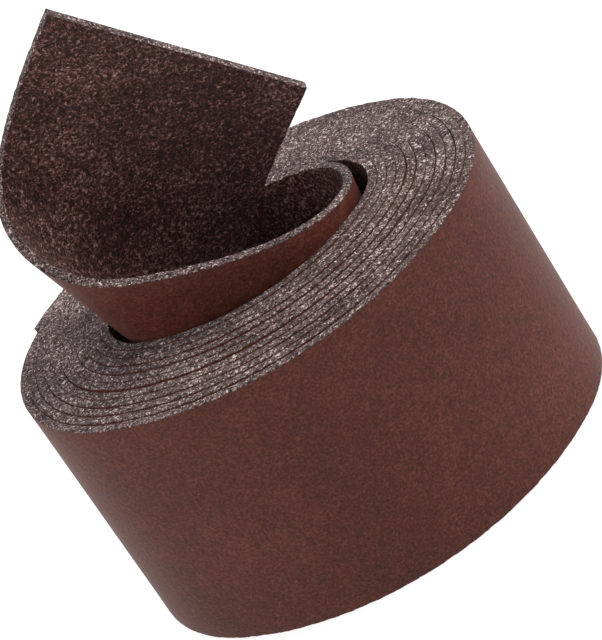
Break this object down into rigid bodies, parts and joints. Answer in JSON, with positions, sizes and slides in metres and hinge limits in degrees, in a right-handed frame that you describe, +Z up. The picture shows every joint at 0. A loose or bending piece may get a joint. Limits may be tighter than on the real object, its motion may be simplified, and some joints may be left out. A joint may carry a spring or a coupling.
{
  "type": "leather strop",
  "caption": "Flat leather strop strip stored as a coiled roll, smooth side out, with its inner end drawn up as a free tongue.",
  "frame": {"origin": "On the surface the roll stands on, under the middle of its bounding box.", "axes": "+Z up along the coil axis, X along the coil's long way, +Y to the side where the strip's outer end lies."},
  "size_m": [0.09, 0.0734, 0.1102],
  "materials": {
    "leather": "smooth oiled grain side, suede flesh side, raw cut edges"
  },
  "bodies": {
    "turn_01": {"turn_01": "leather"},
    "turn_02": {"turn_02": "leather"},
    "turn_03": {"turn_03": "leather"},
    "turn_04": {"turn_04": "leather"},
    "turn_05": {"turn_05": "leather"},
    "turn_06": {"turn_06": "leather"},
    "turn_07": {"turn_07": "leather"},
    "turn_08": {"turn_08": "leather"},
    "turn_09": {"turn_09": "leather"},
    "turn_10": {"turn_10": "leather"},
    "turn_11": {"turn_11": "leather"},
    "outer_end": {"outer_end": "leather"},
    "core": {"inner_loop": "leather", "left_bend": "leather"},
    "tongue": {"tongue": "leather"}
  },
  "joints": [
    {"name": "rise_02", "type": "slide", "parent": "turn_01", "child": "turn_02", "axis": [0, 0, 1], "range_m": [0, 0.002]},
    {"name": "rise_03", "type": "slide", "parent": "turn_02", "child": "turn_03", "axis": [0, 0, 1], "range_m": [0, 0.002]},
    {"name": "rise_04", "type": "slide", "parent": "turn_03", "child": "turn_04", "axis": [0, 0, 1], "range_m": [0, 0.002]},
    {"name": "rise_05", "type": "slide", "parent": "turn_04", "child": "turn_05", "axis": [0, 0, 1], "range_m": [0, 0.002]},
    {"name": "rise_06", "type": "slide", "parent": "turn_05", "child": "turn_06", "axis": [0, 0, 1], "range_m": [0, 0.002]},
    {"name": "rise_07", "type": "slide", "parent": "turn_06", "child": "turn_07", "axis": [0, 0, 1], "range_m": [0, 0.002]},
    {"name": "rise_08", "type": "slide", "parent": "turn_07", "child": "turn_08", "axis": [0, 0, 1], "range_m": [0, 0.002]},
    {"name": "rise_09", "type": "slide", "parent": "turn_08", "child": "turn_09", "axis": [0, 0, 1], "range_m": [0, 0.002]},
    {"name": "rise_10", "type": "slide", "parent": "turn_09", "child": "turn_10", "axis": [0, 0, 1], "range_m": [0, 0.002]},
    {"name": "rise_11", "type": "slide", "parent": "turn_10", "child": "turn_11", "axis": [0, 0, 1], "range_m": [0, 0.002]},
    {"name": "rise_core", "type": "slide", "parent": "turn_11", "child": "core", "axis": [0, 0, 1], "range_m": [0, 0.002]},
    {"name": "tongue_flex", "type": "hinge", "parent": "core", "child": "tongue", "pos_m": [-0.01991, 0.00778, 0.05803], "axis": [-0.2585, -0.1493, 0.9544], "range_deg": [-15, 0], "stiffness_Nm_per_rad": 0.08},
    {"name": "outer_end_peel", "type": "hinge", "parent": "turn_01", "child": "outer_end", "pos_m": [0.0361, 0.02142, 0.025], "axis": [0, 0, -1], "range_deg": [0, 40], "stiffness_Nm_per_rad": 0.05}
  ],
  "couplings": [
    {"joint": "rise_03", "follows": "rise_02", "ratio": 1},
    {"joint": "rise_04", "follows": "rise_02", "ratio": 1},
    {"joint": "rise_05", "follows": "rise_02", "ratio": 1},
    {"joint": "rise_06", "follows": "rise_02", "ratio": 1},
    {"joint": "rise_07", "follows": "rise_02", "ratio": 1},
    {"joint": "rise_08", "follows": "rise_02", "ratio": 1},
    {"joint": "rise_09", "follows": "rise_02", "ratio": 1},
    {"joint": "rise_10", "follows": "rise_02", "ratio": 1},
    {"joint": "rise_11", "follows": "rise_02", "ratio": 1},
    {"joint": "rise_core", "follows": "rise_02", "ratio": 1}
  ]
}
